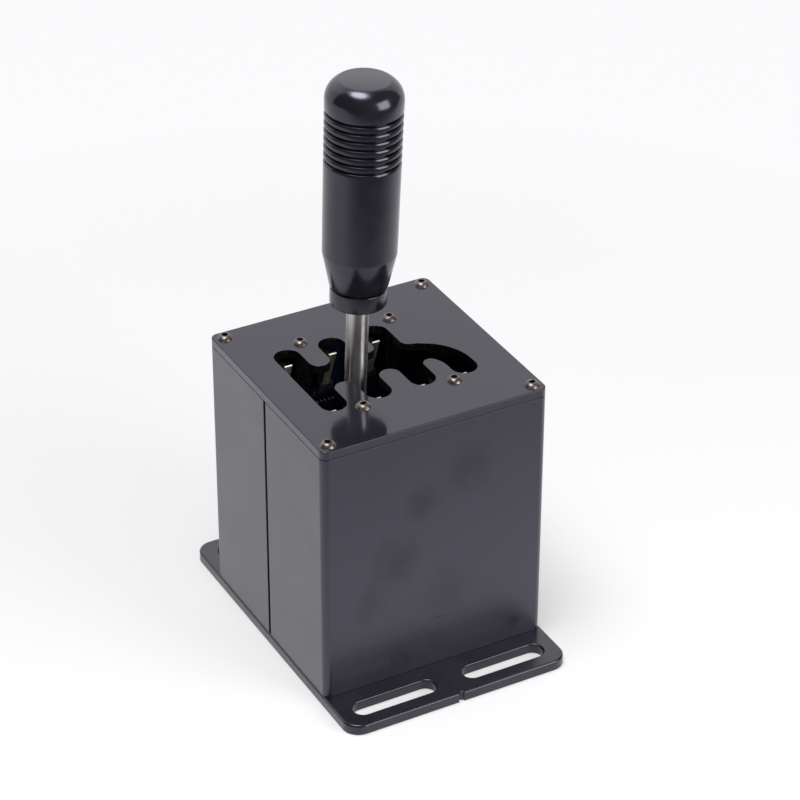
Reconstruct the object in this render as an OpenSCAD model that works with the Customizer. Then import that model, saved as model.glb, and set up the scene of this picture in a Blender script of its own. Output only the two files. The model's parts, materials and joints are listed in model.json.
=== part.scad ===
// Gear shifter for sim racing: a lever on a two-axis cradle in a sheet-metal box.
// The H-pattern gate is on top and the box stands on a slotted base plate.
// Origin: centre of the base plate's underside. +X right, +Y away from the driver, +Z up.

/* [Base plate] */
// Distance that the base plate stands out past the covers at each side
base_step = 0.5; // [0.2:0.1:10]
// Length of the base plate, front to back
base_l = 160; // [150:1:200]
// Thickness of the base plate
base_t = 5; // [4:0.5:8]
// Corner radius of the base plate
base_corner_r = 8; // [3:0.5:12]
// Bevel along the top edge of the base plate
base_bevel = 0.7; // [0.3:0.1:1.2]
// Length of a mounting slot, end to end
mount_slot_l = 41; // [20:0.5:46]
// Width of a mounting slot
mount_slot_w = 9.4; // [6:0.2:10]
// Mounting slot centre, left or right of the middle
mount_slot_x = 27.8; // [24:0.1:30]
// Mounting slot centre, in front of or behind the middle
mount_slot_y = 68.2; // [66:0.1:72]
// Bevel round the top of a mounting slot
mount_slot_bevel = 0.5; // [0.2:0.1:0.8]
// Radius of the alignment notch in the front and rear edges
edge_notch_r = 1.3; // [0.8:0.1:2.5]

/* [Box] */
// Width of the box over the covers
box_w = 111; // [106:0.5:118]
// Depth of the box over the covers
box_d = 110; // [106:0.5:112]
// Height of the corner posts, between the base plate and the gate plate
box_h = 126; // [124:1:140]
// Thickness of the cover sheet
cover_sheet = 1.5; // [1:0.1:2]
// Outer radius of the covers' bends
cover_bend_r = 3.5; // [2.5:0.1:5]
// Gap between the covers and the gate plate
cover_gap = 0.3; // [0.2:0.1:1.5]
// Gap between the two covers at each side seam
seam_gap = 1.2; // [0.4:0.1:2]
// Distance of the corner screws from the box edges
corner_inset = 5.3; // [4.5:0.1:6]

/* [Gate] */
// Thickness of the gate plate
gate_t = 4; // [3:0.5:5]
// Corner radius of the gate plate
gate_corner_r = 3.5; // [2:0.5:8]
// Bevel along the top edge of the gate plate
gate_bevel = 0.3; // [0.2:0.1:1]
// Distance between neighbouring gear columns
column_pitch = 22; // [21:0.5:23]
// Width of the gate slots
gate_slot_w = 12.2; // [11.8:0.1:13]
// Distance from the middle of the gate to a slot end
gate_reach = 27.8; // [26.5:0.1:29]
// Width of the neutral lane between the finger tips
lane_w = 15.8; // [13:0.1:17]
// Reverse column, right of the middle
reverse_x = 32; // [31:0.1:34]
// Radius of the curved way into reverse, at the middle of the slot
reverse_bend_r = 18.7; // [18:0.1:20]
// Distance of the reverse bend's centre in front of the middle
reverse_bend_y = 18; // [17:0.1:19]
// Rounding of the corner between the fifth gear slot and the reverse lane
reverse_outer_fillet = 4; // [2:0.5:5]
// Rounding of the finger between the sixth gear slot and reverse
reverse_finger_fillet = 3.5; // [2:0.5:4]
// Inner gate screws, left or right of the middle
inner_screw_x = 22.5; // [22:0.1:23]
// Inner gate screws, in front of or behind the middle
inner_screw_y = 30; // [29.5:0.1:33]

/* [Lever] */
// Diameter of the lever rod
rod_d = 10; // [8:0.5:10.5]
// Height of the pivot above the ground
pivot_z = 35; // [33:0.5:40]
// Lean of the lever to the right at rest, in degrees
rest_lean = 2.1; // [0:0.1:2.5]
// Distance of the resting rod to the right of the middle column, at the gate
rest_offset = 0.7; // [0:0.1:0.8]
// Height of the collar's underside above the pivot
collar_z = 133.3; // [125:0.1:150]
// Height of the collar
collar_h = 8; // [5:0.5:12]
// Radius of the collar
collar_r = 12.6; // [9:0.1:14]
// Height of the shadow groove between collar and knob
joint_groove = 0.8; // [0.4:0.1:1.5]
// Radius of the knob at its lower end
knob_neck_r = 13; // [10:0.1:15]
// Length of the knob's lower cone
knob_cone_h = 17; // [10:0.1:30]
// Radius of the knob just above the cone
knob_low_r = 16.4; // [13:0.1:20]
// Radius of the knob below its shoulder
knob_top_r = 17; // [13:0.1:20]
// Length of the knob without its spigot
knob_l = 97.4; // [80:0.1:120]
// Radius of the knob's flat top
knob_flat_r = 11.2; // [8:0.1:13]
// Height of the rounded shoulder between the knob's side and its flat top
knob_shoulder_h = 8.9; // [6:0.1:10]
// Number of grip grooves
groove_count = 7; // [3:1:9]
// Distance between grip grooves
groove_pitch = 3.7; // [3:0.1:4.5]
// Width of a grip groove
groove_w = 1.3; // [0.8:0.1:1.5]
// Depth of a grip groove
groove_depth = 1.2; // [1:0.1:2]
// Rounding of the lips of a grip groove
groove_lip = 0.8; // [0.3:0.1:0.9]
// Distance from the knob's top to the first groove
groove_start = 14; // [9:0.1:18]
// Depth of the rod inside the knob
rod_in_knob = 36; // [20:1:60]

/* [Pivot] */
// Diameter of the select pins and the shift pin
pin_d = 8; // [6:0.5:8]
// Wall of a bush
bush_wall = 2; // [1.5:0.1:2.5]
// Thickness of a bush's flange
bush_flange_t = 2; // [1.5:0.1:3]
// Width of a bush's flange beyond its body
bush_flange_w = 2; // [1.5:0.1:3]
// Wall of the cradle ring
cradle_wall = 8; // [6:0.5:10]
// Height of the cradle ring
cradle_h = 16; // [15:0.5:18]
// Width of the lever hub
hub_w = 28; // [24:0.5:30]
// Depth of the lever hub
hub_d = 18; // [16:0.5:20]
// Height of the lever hub above the pivot
hub_up = 26; // [24:0.5:30]
// Room for the hub to swing inside the cradle
hub_swing = 6; // [5:0.5:8]
// Thickness of the friction washers
washer_t = 2; // [1:0.1:2.5]
// Thickness of a bearing block
block_t = 10; // [8:0.5:12]
// Width of a bearing block
block_w = 28; // [26:0.5:32]
// Height of a bearing block above the pivot
block_up = 13; // [12:0.5:16]
// Outer radius of a centring spring
spring_r = 5; // [4:0.1:6]
// Wire diameter of a centring spring
spring_wire = 1; // [0.6:0.1:1.2]
// Turns of a centring spring
spring_turns = 6; // [4:1:8]
// Thickness of a spring seat
seat_t = 2; // [1.5:0.1:3]

/* [Switches] */
// Length of a switch body
switch_l = 19.8; // [18:0.1:21]
// Thickness of a switch body
switch_w = 6.4; // [6:0.1:7]
// Depth of a switch body
switch_d = 10.2; // [9:0.1:11]
// Distance of the switch tops below the gate plate
switch_drop = 3.7; // [3:0.1:5]
// Distance of the switch faces from the middle of the gate
switch_face = 29.2; // [29:0.1:30]
// Length of a switch leaf
leaf_l = 19; // [14:0.1:19.5]
// Width of a switch leaf
leaf_w = 3.6; // [3:0.1:4]
// Thickness of a switch leaf
leaf_t = 0.4; // [0.3:0.05:0.6]
// Lean of a switch leaf towards the lever at rest, in degrees
leaf_angle = 6; // [5:0.1:6.5]
// Distance of a leaf hinge in front of the switch face
leaf_stand = 0.9; // [0.8:0.05:1.2]
// Height of a leaf hinge above the switch's lower end
leaf_foot = 3.4; // [3:0.1:4]
// Distance of the plunger above the leaf hinge
plunger_arm = 10; // [8:0.1:11]
// Diameter of a plunger
plunger_d = 2; // [1.6:0.1:2.4]

/* [Boards] */
// Width of a switch board
board_w = 88; // [86:0.5:92]
// Height of a switch board
board_h = 38; // [36:0.5:44]
// Thickness of a switch board
board_t = 1.6; // [1:0.1:2]
// Width of a board block
board_block_w = 8; // [7:0.1:8]
// Height of a board block
board_block_h = 24; // [22:0.5:28]
// Pins in the header
pin_count = 7; // [4:1:10]
// Distance between header pins
pin_pitch = 2; // [1.5:0.1:2.54]

/* [Fasteners and fits] */
// Diameter of the M4 screws
screw_d = 4; // [3:0.5:4]
// Diameter of a button head
button_d = 7.4; // [5.5:0.1:8]
// Height of a button head
button_h = 2.2; // [1.6:0.1:2.6]
// Width of a hex socket
socket_w = 2.5; // [2:0.1:3]
// Length of the screws in what they hold
screw_grip = 12; // [8:0.5:12]
// Diameter of the board screws
board_screw_d = 3; // [2:0.5:3]
// Clearance round a screw in the piece that it passes through
screw_clear = 0.25; // [0.1:0.05:0.4]
// Gap round a screw or pressed piece in its seat
seat_fit = 0.02; // [0.01:0.01:0.05]
// Running clearance round a turning or sliding pin
run_fit = 0.05; // [0.02:0.01:0.1]
// Side play of the cradle and the hub
side_play = 0.1; // [0.05:0.05:0.3]

/* [Hidden] */
$fn = 64;

// Heights
gate_bottom = base_t + box_h;
gate_top = gate_bottom + gate_t;
gate_mid = gate_bottom + gate_t / 2;
cover_h = box_h - cover_gap;
cut = 1;

// Width of the base plate
base_w = box_w + 2 * base_step;

// Screw places
corner_x = box_w / 2 - corner_inset;
corner_y = box_d / 2 - corner_inset;
post_w = 2 * (corner_inset - cover_sheet);
post_chamfer = cover_bend_r - cover_sheet;
screw_hole_d = screw_d + 2 * screw_clear;
screw_seat_d = screw_d + 2 * seat_fit;
sink_d = 2 * screw_d;
sink_h = (sink_d - screw_d) / 2;
sink_depth = 0.2;
socket_depth = 1.4;
board_screw_grip = 5;
board_screw_head = 1.6;
tap_run = 1;

// Gate
column_x = [for (i = [-1.5, -0.5, 0.5]) i * column_pitch];
slot_r = gate_slot_w / 2;
finger_r = (column_pitch - gate_slot_w) / 2;
reverse_c = [reverse_x - reverse_bend_r, -reverse_bend_y];
arc_step = 9;

// Lever
lever_reach = gate_mid - pivot_z;
pivot_x = column_x[1] + rest_offset - lever_reach * tan(rest_lean);
knob_z = collar_z + collar_h + joint_groove;
rod_top = knob_z + rod_in_knob;
shoulder_z = knob_l - knob_shoulder_h;
shoulder_in = knob_top_r - knob_flat_r;
shoulder_r = (knob_shoulder_h * knob_shoulder_h + shoulder_in * shoulder_in) / (2 * shoulder_in);
pin_r = pin_d / 2;
rod_floor = 2;
rod_foot = pin_r + rod_floor;
set_screw_drop = 7;
set_screw_z = hub_up - set_screw_drop;
spigot_step = 2;
collar_bevel = 0.5;
bush_r = pin_r + run_fit + bush_wall;
flange_r = bush_r + bush_flange_w;

// Cradle and its bearings, from the pivot outwards
cradle_in_x = hub_w + 2 * (washer_t + bush_flange_t + side_play);
cradle_in_y = hub_d + 2 * hub_swing;
cradle_x = cradle_in_x + 2 * cradle_wall;
cradle_y = cradle_in_y + 2 * cradle_wall;
block_y = cradle_y / 2 + side_play + bush_flange_t;
block_screw_edge = 6;
block_foot_h = 17;
block_screw_x = block_w / 2 - block_screw_edge;
block_screw_y = block_y + block_t / 2;
pin_proud = 1;
select_pin_l = cradle_wall + side_play + bush_flange_t + block_t + pin_proud;
ring_t = 1;
ring_groove = 0.5;
ring_x = cradle_x / 2 + side_play;
ring_w = 2;
shift_pin_l = 2 * (ring_x + ring_t + pin_proud + side_play);

// Springs stand under the left and right walls of the cradle
spring_x = cradle_in_x / 2 + cradle_wall / 2;
seat_z = base_t + seat_t;
spigot_gap = 0.7;
spigot_r = spring_r - spring_wire - spigot_gap;
seat_rim = 2;
spigot_h = 3;
boss_h = 2;
spring_foot_gap = 0.05;
spring_head_gap = 0.2;
turn_rings = 8;
wire_sides = 6;

// Switches, for a switch behind the gate; front ones are mirrored
switch_z = gate_bottom - switch_drop - switch_l;
hinge_y = switch_face - leaf_stand;
hinge_z = switch_z + leaf_foot;
leaf_pin_r = 0.5;
lug_gap = 0.15;
lug_h = 2.4;
lug_wall = 0.4;
plunger_z = hinge_z + plunger_arm;
plunger_gap = 0.12;
leaf_back = leaf_t / 2 / cos(leaf_angle);
plunger_tip = hinge_y - (plunger_arm - plunger_d / 2) * tan(leaf_angle) + leaf_back + plunger_gap;
plunger_in = 3;
plunger_travel = 1.4;
case_hole_d = 2.3;
case_hole_pitch = 9.5;
case_hole_back = 2.9;
case_hole_z = [for (k = [-1, 1]) switch_z + (switch_l + k * case_hole_pitch) / 2];
board_y = switch_face + switch_d;
board_drop = 3;
board_z = gate_bottom - board_drop - board_h;
tail_w = 0.8;
tail_out = 1.4;
tail_z = [for (k = [0.1, 0.5, 0.9]) switch_z + k * switch_l];
board_screw_z = gate_bottom - screw_grip - tap_run - board_screw_d;
SWITCHES = [
    [column_x[0], 1], [column_x[0], -1], [column_x[1], 1], [column_x[1], -1],
    [column_x[2], 1], [column_x[2], -1], [reverse_x, -1]
];

// Board parts
pin_side = 0.6;
pin_out = 2;
header_h = 2;
header_lift = 7;
header_z = board_z + header_lift;
chip_w = 10;
chip_t = 1.4;
chip_lift = 3;
usb_w = 12;
usb_h = 10.8;
usb_wall = 0.8;
usb_floor = 4.4;
usb_tongue = [5.6, 3.2];
usb_proud = 0.4;
usb_clear = 0.4;
usb_lift = 8;
usb_z = board_z + usb_lift;
plug_w = 7;
plug_d = 8;
plug_h = 16;
plug_lift = 2;
plug_z = board_z + plug_lift;
ribbon_t = 0.9;
ribbon_margin = 1;

// Rectangle with rounded corners
module rounded_rect(w, l, r) {
    square([w - 2 * r, l], center = true);
    square([w, l - 2 * r], center = true);
    for (x = [-1, 1], y = [-1, 1])
        translate([x * (w / 2 - r), y * (l / 2 - r)]) circle(r);
}

// Profile of a plate of half width h with bevelled upper corners
module bevel_profile(h, t, bevel) {
    polygon([[-h, 0], [h, 0], [h, t - bevel], [h - bevel, t], [bevel - h, t], [-h, t - bevel]]);
}

// Plate with rounded corners and a bevel along its top edge
module bevelled_plate(w, l, t, r, bevel) {
    rotate([90, 0, 0]) linear_extrude(l - 2 * r, center = true) bevel_profile(w / 2, t, bevel);
    rotate([90, 0, 90]) linear_extrude(w - 2 * r, center = true) bevel_profile(l / 2, t, bevel);
    for (x = [-1, 1], y = [-1, 1])
        translate([x * (w / 2 - r), y * (l / 2 - r), 0])
            rotate_extrude() polygon([[0, 0], [r, 0], [r, t - bevel], [r - bevel, t], [0, t]]);
}

// Cutter for a slot along X through a plate, bevelled at the top
module slot_cutter(l, w, t, bevel) {
    r = w / 2;
    side = [[r, -cut], [r, t - bevel], [r + bevel, t], [r + bevel, t + cut]];
    flip = [for (i = [3:-1:0]) [-side[i][0], side[i][1]]];
    for (x = [-1, 1]) translate([x * (l / 2 - r), 0, 0])
        rotate_extrude() polygon(concat([[0, -cut]], side, [[0, t + cut]]));
    rotate([90, 0, 90]) linear_extrude(l - w, center = true) polygon(concat(side, flip));
}

// Cutter for a hex socket, its floor at z = 0
module hex_socket(depth) {
    cylinder(d = socket_w / cos(30), h = depth, $fn = 6);
}

// Button-head screw, underside of the head at z = 0, shank downwards
module button_screw(shank_l) {
    dome_r = (button_d * button_d / 4 + button_h * button_h) / (2 * button_h);
    difference() {
        union() {
            intersection() {
                translate([0, 0, button_h - dome_r]) sphere(dome_r);
                cylinder(d = button_d, h = button_h);
            }
            translate([0, 0, -shank_l]) cylinder(d = screw_d, h = shank_l + cut / 2);
        }
        translate([0, 0, button_h - socket_depth]) hex_socket(socket_depth + cut);
    }
}

// Countersunk screw pointing up, its flat head recessed from z = 0
module sunk_screw(shank_l) {
    difference() {
        union() {
            translate([0, 0, sink_depth]) cylinder(d1 = sink_d, d2 = screw_d, h = sink_h);
            translate([0, 0, sink_depth + sink_h / 2]) cylinder(d = screw_d, h = shank_l);
        }
        translate([0, 0, -cut]) hex_socket(cut + sink_depth + socket_depth);
    }
}

// Cutter for a countersunk screw hole in the base plate
module sunk_hole() {
    translate([0, 0, -cut]) cylinder(d = screw_hole_d, h = base_t + 2 * cut);
    translate([0, 0, sink_depth]) cylinder(d1 = sink_d + 2 * screw_clear, d2 = screw_hole_d, h = sink_h);
    translate([0, 0, -cut]) cylinder(d = sink_d + 2 * screw_clear, h = cut + sink_depth);
}

// Flanged bush along X, its flange face at x = 0 and its body in +X
module flanged_bush(body_l) {
    rotate([0, 90, 0]) difference() {
        union() {
            cylinder(r = flange_r, h = bush_flange_t);
            cylinder(r = bush_r, h = bush_flange_t + body_l);
        }
        translate([0, 0, -cut]) cylinder(r = pin_r + run_fit, h = bush_flange_t + body_l + 2 * cut);
    }
}

module at_corners(x, y, z) {
    for (i = [-1, 1], j = [-1, 1]) translate([i * x, j * y, z]) children();
}

module at_block_screws() {
    for (i = [-1, 1], j = [-1, 1])
        translate([pivot_x + i * block_screw_x, j * block_screw_y, 0]) children();
}

module at_seats() {
    for (i = [-1, 1]) translate([pivot_x + i * spring_x, 0, 0]) children();
}

// Frame of the cradle and the lever: origin at the pivot, Z along the rod
module at_lever() {
    translate([pivot_x, 0, pivot_z]) rotate([0, rest_lean, 0]) children();
}

// Place of a switch, mirrored for the ones in front
module at_switch(i) {
    translate([SWITCHES[i][0], 0, 0]) mirror([0, SWITCHES[i][1] < 0 ? 1 : 0, 0]) children();
}

module base_plate() {
    color([0.17, 0.17, 0.19]) difference() {
        bevelled_plate(base_w, base_l, base_t, base_corner_r, base_bevel);
        at_corners(mount_slot_x, mount_slot_y, 0)
            slot_cutter(mount_slot_l, mount_slot_w, base_t, mount_slot_bevel);
        for (j = [-1, 1]) translate([0, j * base_l / 2, -cut])
            cylinder(r = edge_notch_r, h = base_t + 2 * cut);
        at_corners(corner_x, corner_y, 0) sunk_hole();
        at_block_screws() sunk_hole();
        at_seats() sunk_hole();
    }
}

// Section of both covers
module cover_section() {
    difference() {
        rounded_rect(box_w, box_d, cover_bend_r);
        rounded_rect(box_w - 2 * cover_sheet, box_d - 2 * cover_sheet, cover_bend_r - cover_sheet);
    }
}

// Cover in front (side -1) or behind (side 1)
module cover(side) {
    translate([0, 0, base_t]) linear_extrude(cover_h) intersection() {
        cover_section();
        translate([0, side * (box_d / 2 + seam_gap / 2)]) square([box_w + 2 * cut, box_d], center = true);
    }
}

module front_cover() {
    color([0.28, 0.28, 0.31]) cover(-1);
}

module rear_cover() {
    color([0.28, 0.28, 0.31]) difference() {
        cover(1);
        translate([0, box_d / 2, usb_z])
            cube([usb_w + 2 * usb_clear, 4 * cover_sheet, usb_h + 2 * usb_clear], center = true);
    }
}

// Points on an arc between two angles, about one every arc_step degrees
function arc(centre, r, from, to) =
    let (n = ceil(abs(to - from) / arc_step))
    [for (k = [0:n]) centre + r * [cos(from + (to - from) * k / n), sin(from + (to - from) * k / n)]];

// Outline of the gate, once round from the second gear's slot end
function gate_outline() =
    let (
        inner_r = reverse_bend_r - slot_r,
        outer_r = reverse_bend_r + slot_r,
        end_y = gate_reach - slot_r,
        tip_y = lane_w / 2 + finger_r,
        edge = column_x[2] + slot_r - reverse_c[0],
        f = reverse_outer_fillet,
        outer_f = [edge + f, sqrt(pow(outer_r + f, 2) - pow(edge + f, 2))],
        outer_a = atan2(outer_f[1], outer_f[0]),
        g = reverse_finger_fillet,
        inner_f = [edge + g, sqrt(pow(inner_r - g, 2) - pow(edge + g, 2))],
        inner_a = atan2(inner_f[1], inner_f[0]),
        between = [for (i = [0, 1]) (column_x[i] + column_x[i + 1]) / 2]
    )
    concat(
        arc([column_x[0], -end_y], slot_r, 180, 360),
        arc([between[0], -tip_y], finger_r, 180, 0),
        arc([column_x[1], -end_y], slot_r, 180, 360),
        arc([between[1], -tip_y], finger_r, 180, 0),
        arc([column_x[2], -end_y], slot_r, 180, 360),
        arc(reverse_c + inner_f, g, 180, inner_a),
        arc(reverse_c, inner_r, inner_a, 0),
        arc([reverse_x, -end_y], slot_r, 180, 360),
        arc(reverse_c, outer_r, 0, outer_a),
        arc(reverse_c + outer_f, f, outer_a + 180, 180),
        arc([column_x[2], end_y], slot_r, 0, 180),
        arc([between[1], tip_y], finger_r, 360, 180),
        arc([column_x[1], end_y], slot_r, 0, 180),
        arc([between[0], tip_y], finger_r, 360, 180),
        arc([column_x[0], end_y], slot_r, 0, 180)
    );

module gate_plate() {
    color([0.36, 0.36, 0.39]) translate([0, 0, gate_bottom]) difference() {
        bevelled_plate(box_w, box_d, gate_t, gate_corner_r, gate_bevel);
        translate([0, 0, -cut]) linear_extrude(gate_t + 2 * cut) polygon(gate_outline());
        at_corners(corner_x, corner_y, -cut) cylinder(d = screw_hole_d, h = gate_t + 2 * cut);
        at_corners(inner_screw_x, inner_screw_y, -cut) cylinder(d = screw_hole_d, h = gate_t + 2 * cut);
    }
}

module corner_posts() {
    h = post_w / 2;
    c = post_chamfer;
    color([0.6, 0.6, 0.62]) at_corners(corner_x, corner_y, base_t) difference() {
        linear_extrude(box_h) polygon([
            [c - h, -h], [h - c, -h], [h, c - h], [h, h - c],
            [h - c, h], [c - h, h], [-h, h - c], [-h, c - h]
        ]);
        for (z = [-cut, box_h - screw_grip - tap_run]) translate([0, 0, z])
            cylinder(d = screw_seat_d, h = screw_grip + tap_run + cut);
    }
}

module gate_corner_screws() {
    color([0.42, 0.38, 0.34]) at_corners(corner_x, corner_y, gate_top)
        button_screw(gate_t + screw_grip);
}

module gate_inner_screws() {
    color([0.42, 0.38, 0.34]) at_corners(inner_screw_x, inner_screw_y, gate_top)
        button_screw(gate_t + screw_grip);
}

module base_screws() {
    color([0.3, 0.3, 0.32]) at_corners(corner_x, corner_y, 0)
        sunk_screw(base_t + screw_grip - sink_h);
}

// Blocks that hang from the gate plate and carry the switch boards
module board_blocks() {
    front = inner_screw_y - board_block_w / 2;
    color([0.6, 0.6, 0.62]) for (i = [-1, 1], j = [0, 1])
        mirror([0, j, 0]) translate([i * inner_screw_x, 0, gate_bottom - board_block_h]) difference() {
            translate([-board_block_w / 2, front, 0]) cube([board_block_w, board_y - front, board_block_h]);
            translate([0, inner_screw_y, board_block_h - screw_grip - tap_run])
                cylinder(d = screw_seat_d, h = screw_grip + tap_run + cut);
            translate([0, board_y + cut, board_screw_z - gate_bottom + board_block_h])
                rotate([90, 0, 0])
                    cylinder(d = board_screw_d + 2 * seat_fit, h = board_screw_grip + tap_run + cut);
        }
}

module board_screws() {
    color([0.7, 0.7, 0.72]) for (i = [-1, 1], j = [0, 1])
        mirror([0, j, 0]) translate([i * inner_screw_x, board_y + board_t, board_screw_z])
            rotate([-90, 0, 0]) difference() {
                union() {
                    cylinder(d = 2 * board_screw_d, h = board_screw_head);
                    translate([0, 0, -board_t - board_screw_grip])
                        cylinder(d = board_screw_d, h = board_t + board_screw_grip + cut / 2);
                }
                translate([0, 0, board_screw_head / 2]) hex_socket(socket_depth);
            }
}

// Board behind the switches, with holes for their tails and its two screws
module switch_board(side) {
    mirror([0, side < 0 ? 1 : 0, 0]) difference() {
        translate([-board_w / 2, board_y, board_z]) cube([board_w, board_t, board_h]);
        for (s = SWITCHES, z = tail_z) if (s[1] == side)
            translate([s[0], board_y - cut, z]) rotate([-90, 0, 0])
                cylinder(d = 2 * tail_w, h = board_t + 2 * cut);
        for (i = [-1, 1]) translate([i * inner_screw_x, board_y - cut, board_screw_z])
            rotate([-90, 0, 0]) cylinder(d = board_screw_d + 2 * screw_clear, h = board_t + 2 * cut);
    }
}

module front_switch_board() {
    color([0.05, 0.12, 0.3]) switch_board(-1);
}

module rear_switch_board() {
    color([0.05, 0.12, 0.3]) switch_board(1);
}

// Row of bright pins on the rear board, facing the gate
module pin_header() {
    row = pin_count * pin_pitch;
    color([0.85, 0.85, 0.85]) translate([column_x[1] / 2, board_y, header_z]) {
        translate([-row / 2, -header_h, -pin_pitch / 2]) cube([row, header_h, pin_pitch]);
        for (k = [0:pin_count - 1])
            translate([(k + 0.5) * pin_pitch - row / 2, -header_h - pin_out / 2, 0])
                cube([pin_side, pin_out + cut, pin_side], center = true);
    }
}

module controller_chip() {
    color([0.08, 0.08, 0.08])
        translate([column_x[0] - chip_w / 2, board_y - chip_t, board_z + chip_lift])
            cube([chip_w, chip_t, chip_w]);
}

// Square socket for the lead, from the rear board out through the rear cover
module usb_socket() {
    y0 = board_y + board_t;
    usb_l = box_d / 2 + usb_proud - y0;
    color([0.75, 0.75, 0.76]) translate([0, y0, usb_z]) {
        difference() {
            translate([-usb_w / 2, 0, -usb_h / 2]) cube([usb_w, usb_l, usb_h]);
            translate([usb_wall - usb_w / 2, usb_floor, usb_wall - usb_h / 2])
                cube([usb_w - 2 * usb_wall, usb_l, usb_h - 2 * usb_wall]);
        }
        translate([-usb_tongue[0] / 2, usb_floor - cut, -usb_tongue[1] / 2])
            cube([usb_tongue[0], usb_l - usb_floor - cut, usb_tongue[1]]);
    }
}

// Plugs on the right-hand end of both boards
module ribbon_plugs() {
    color([0.1, 0.1, 0.1]) for (j = [0, 1])
        mirror([0, j, 0]) translate([board_w / 2 - plug_w, board_y - plug_d, plug_z])
            cube([plug_w, plug_d, plug_h]);
}

// Flat ribbon along the right-hand side that joins the two boards
module link_ribbon() {
    color([0.55, 0.55, 0.57]) translate([board_w / 2, -board_y, plug_z + ribbon_margin])
        cube([ribbon_t, 2 * board_y, plug_h - 2 * ribbon_margin]);
}

// Bearing block with a round head, in front (side -1) or behind (side 1)
module bearing_block(side) {
    head_r = block_up;
    translate([pivot_x, side * block_screw_y, 0]) difference() {
        rotate([90, 0, 0]) linear_extrude(block_t, center = true) {
            translate([-block_w / 2, base_t]) square([block_w, block_foot_h]);
            translate([-head_r, base_t]) square([2 * head_r, pivot_z - base_t]);
            translate([0, pivot_z]) circle(head_r);
        }
        translate([0, 0, pivot_z]) rotate([90, 0, 0])
            cylinder(r = bush_r + seat_fit, h = block_t + 2 * cut, center = true);
        for (i = [-1, 1]) translate([i * block_screw_x, 0, base_t - cut])
            cylinder(d = screw_seat_d, h = screw_grip + tap_run + cut);
    }
}

module bearing_block_front() {
    color([0.62, 0.62, 0.64]) bearing_block(-1);
}

module bearing_block_rear() {
    color([0.62, 0.62, 0.64]) bearing_block(1);
}

module bearing_screws() {
    color([0.3, 0.3, 0.32]) at_block_screws() sunk_screw(base_t + screw_grip - sink_h);
}

module select_bushes() {
    color([0.7, 0.55, 0.25]) for (j = [-1, 1])
        translate([pivot_x, 0, pivot_z]) rotate([0, 0, j * 90])
            translate([block_y - bush_flange_t, 0, 0]) flanged_bush(block_t);
}

// Round seats on the base plate with a spigot inside each spring
module spring_seats() {
    color([0.6, 0.6, 0.62]) at_seats() difference() {
        union() {
            translate([0, 0, base_t]) cylinder(r = spring_r + seat_rim, h = seat_t);
            translate([0, 0, base_t]) cylinder(r = spigot_r, h = seat_t + spigot_h);
        }
        translate([0, 0, base_t - cut]) cylinder(d = screw_seat_d, h = seat_t + spigot_h + 2 * cut);
    }
}

module spring_seat_screws() {
    color([0.3, 0.3, 0.32]) at_seats()
        sunk_screw(base_t + seat_t + spigot_h - sink_h / 2 - 2 * sink_depth);
}

// Ring k of the spring's wire, its section square to the wire
function spring_ring(k, rings, coil_r, wire_r, rise) =
    let (
        a = 360 * k / turn_rings,
        out = [cos(a), sin(a), 0],
        along = [-sin(a), cos(a), rise * turn_rings / (2 * PI * coil_r * rings)],
        up = cross(out, along / norm(along)),
        centre = coil_r * out + [0, 0, wire_r + rise * k / rings]
    )
    [for (s = [0:wire_sides - 1])
        let (b = 360 * s / wire_sides) centre + wire_r * (cos(b) * out + sin(b) * up)];

// Coil spring standing at z = 0, from rings of points along its wire
module coil_spring(height) {
    n = wire_sides;
    wire_r = spring_wire / 2;
    rings = turn_rings * spring_turns;
    rise = height - 2 * wire_r;
    points = [for (k = [0:rings]) each spring_ring(k, rings, spring_r - wire_r, wire_r, rise)];
    walls = [for (k = [0:rings - 1], s = [0:n - 1])
        let (a = n * k + s, b = n * k + (s + 1) % n) each [[a, b, b + n], [a, b + n, a + n]]];
    foot = [for (s = [1:n - 2]) [0, s + 1, s]];
    head = [for (s = [1:n - 2]) [n * rings, n * rings + s, n * rings + s + 1]];
    polyhedron(points, concat(walls, foot, head));
}

// Spring between its seat and the leaning cradle, left (side -1) or right (side 1)
module centring_spring(side) {
    reach = side * spring_x;
    under = pivot_z - cradle_h / 2 * cos(rest_lean) - (reach + spring_r) * sin(rest_lean);
    foot = seat_z + spring_foot_gap;
    translate([pivot_x + reach, 0, foot]) coil_spring(under - spring_head_gap - foot);
}

module centring_spring_left() {
    color([0.75, 0.75, 0.76]) centring_spring(-1);
}

module centring_spring_right() {
    color([0.75, 0.75, 0.76]) centring_spring(1);
}

// Ring that turns on the select pins and carries the shift pin
module cradle() {
    color([0.55, 0.56, 0.58]) at_lever() difference() {
        union() {
            difference() {
                cube([cradle_x, cradle_y, cradle_h], center = true);
                cube([cradle_in_x, cradle_in_y, cradle_h + 2 * cut], center = true);
            }
            for (i = [-1, 1]) translate([i * spring_x, 0, -cradle_h / 2 - boss_h])
                cylinder(r = spigot_r, h = boss_h + cut);
        }
        rotate([90, 0, 0]) cylinder(r = pin_r + seat_fit, h = cradle_y + 2 * cut, center = true);
        rotate([0, 90, 0]) cylinder(r = bush_r + seat_fit, h = cradle_x + 2 * cut, center = true);
    }
}

module select_pins() {
    color([0.8, 0.8, 0.82]) translate([pivot_x, 0, pivot_z]) for (j = [-1, 1])
        rotate([0, 0, j * 90]) translate([cradle_in_y / 2, 0, 0])
            rotate([0, 90, 0]) cylinder(r = pin_r, h = select_pin_l);
}

module shift_bushes() {
    color([0.7, 0.55, 0.25]) at_lever() for (i = [0, 180])
        rotate([0, 0, i]) translate([cradle_in_x / 2 - bush_flange_t, 0, 0]) flanged_bush(cradle_wall);
}

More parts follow.
